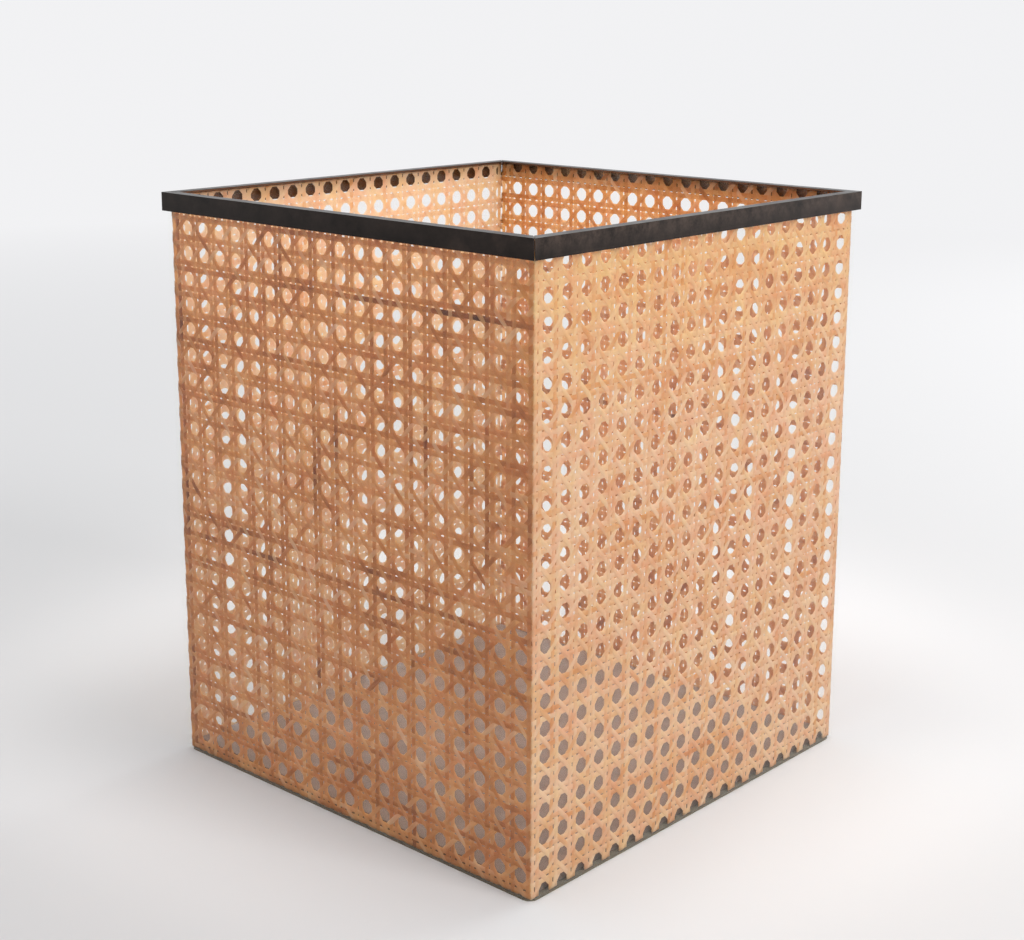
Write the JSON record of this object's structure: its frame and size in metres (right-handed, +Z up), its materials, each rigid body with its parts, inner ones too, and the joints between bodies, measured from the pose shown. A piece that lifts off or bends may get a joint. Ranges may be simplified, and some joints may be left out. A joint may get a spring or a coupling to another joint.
{
  "type": "wastebasket",
  "caption": "Square, straight-sided open wastebasket with clear acrylic walls that hold woven cane webbing, a dark metal angle rim, a dark base panel and a felt pad underneath.",
  "frame": {"origin": "centre of the felt pad's underside, where the basket stands on the floor", "axes": "+Z up along the basket's centre line, +X towards the right wall, -Y towards the front wall; the four walls are alike"},
  "size_m": [0.2564, 0.2564, 0.3048],
  "materials": {
    "acrylic": "clear polished acrylic sheet",
    "cane": "natural woven cane, light tan to orange-brown, satin",
    "rim_metal": "dark gunmetal patina, satin, lightly rubbed",
    "base": "dark glossy acrylic",
    "felt": "dark olive wool felt"
  },
  "bodies": {
    "root": {"front_outer_sheet": "acrylic", "front_cane_webbing": "cane", "front_inner_sheet": "acrylic", "front_rim_rail": "rim_metal", "right_outer_sheet": "acrylic", "right_cane_webbing": "cane", "right_inner_sheet": "acrylic", "right_rim_rail": "rim_metal", "back_outer_sheet": "acrylic", "back_cane_webbing": "cane", "back_inner_sheet": "acrylic", "back_rim_rail": "rim_metal", "left_outer_sheet": "acrylic", "left_cane_webbing": "cane", "left_inner_sheet": "acrylic", "left_rim_rail": "rim_metal", "base_panel": "base", "felt_pad": "felt"}
  },
  "joints": []
}
